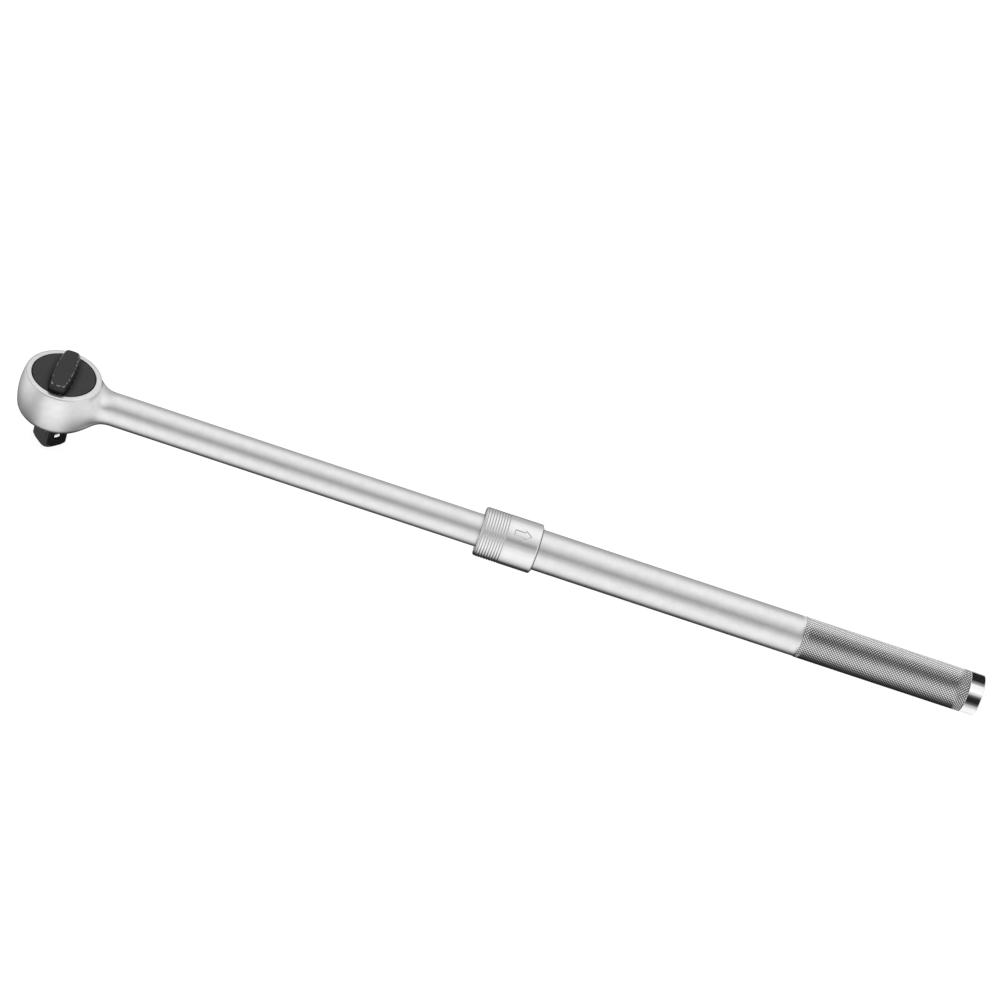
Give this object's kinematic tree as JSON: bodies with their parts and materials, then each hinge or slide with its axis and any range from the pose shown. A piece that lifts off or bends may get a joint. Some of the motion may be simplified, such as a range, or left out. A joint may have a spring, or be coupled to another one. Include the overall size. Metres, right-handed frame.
{
  "type": "telescopic ratchet handle",
  "caption": "Long tubular-grip ratchet handle with a square drive, a rounded head with a direction dial, and a sliding lock collar that sets the handle's length.",
  "frame": {"origin": "centre of the drive square's end face, on the drive's axis", "axes": "+X along the handle from the drive's axis to the grip end; +Z along the drive's axis from the square up to the dial"},
  "size_m": [0.7626, 0.062, 0.0709],
  "materials": {
    "satin_chrome": "satin chrome plate on forged steel and steel tube",
    "bright_chrome": "polished chrome",
    "black_oxide": "black oxide",
    "black_dial": "matte black coat on a cast dial",
    "hardened_steel": "ground",
    "spring_steel": "drawn wire and blued strip",
    "bronze": "turned bearing bronze",
    "black_rubber": "moulded nitrile"
  },
  "bodies": {
    "head": {"head_and_shank": "satin_chrome", "tail_guide_bush": "bronze", "tail_washer": "hardened_steel", "tail_screw": "hardened_steel", "thrust_washer": "bronze"},
    "drive": {"drive_core": "black_oxide", "pawl_pin": "hardened_steel", "dial_retaining_pin": "hardened_steel", "core_snap_ring": "spring_steel", "neck_seal": "black_rubber", "detent_spring": "spring_steel"},
    "pawl": {"pawl": "hardened_steel"},
    "dial": {"direction_dial": "black_dial", "dial_plunger": "hardened_steel", "plunger_spring": "spring_steel", "dial_seal": "black_rubber"},
    "detent": {"detent_ball": "bright_chrome"},
    "grip": {"grip_tube": "satin_chrome", "front_bush": "bronze", "bush_pin": "hardened_steel", "shank_wiper": "black_rubber", "collar_circlip": "spring_steel", "spring_seat_ring": "black_oxide", "end_cap": "bright_chrome", "end_bumper": "black_rubber", "collar_spring": "spring_steel"},
    "collar": {"lock_collar": "satin_chrome"},
    "lock_ball": {"lock_ball": "hardened_steel"}
  },
  "joints": [
    {"name": "drive_spin", "type": "hinge", "parent": "head", "child": "drive", "pos_m": [0, 0, 0.047], "axis": [0, 0, 1], "continuous": true},
    {"name": "dial_turn", "type": "hinge", "parent": "drive", "child": "dial", "pos_m": [0, 0, 0.047], "axis": [0, 0, 1], "range_deg": [0, 40]},
    {"name": "pawl_rock", "type": "hinge", "parent": "drive", "child": "pawl", "pos_m": [-0.00588, 0.01616, 0.047], "axis": [0, 0, 1], "range_deg": [-14, 0]},
    {"name": "detent_press", "type": "slide", "parent": "drive", "child": "detent", "axis": [-0.7071, 0.7071, 0], "range_m": [0, 0.0012], "stiffness_N_per_m": 500, "springref_m": -0.002, "deforming": ["detent_spring"]},
    {"name": "grip_slide", "type": "slide", "parent": "head", "child": "grip", "axis": [-1, 0, 0], "range_m": [0, 0.26]},
    {"name": "collar_pull", "type": "slide", "parent": "grip", "child": "collar", "axis": [1, 0, 0], "range_m": [0, 0.006], "stiffness_N_per_m": 900, "springref_m": -0.006, "deforming": ["collar_spring"]},
    {"name": "lock_ball_lift", "type": "slide", "parent": "grip", "child": "lock_ball", "axis": [0, 0, -1], "range_m": [0, 0.0009]}
  ],
  "couplings": [
    {"joint": "pawl_rock", "follows": "dial_turn", "ratio": -0.35},
    {"joint": "lock_ball_lift", "follows": "collar_pull", "ratio": 0.15}
  ]
}
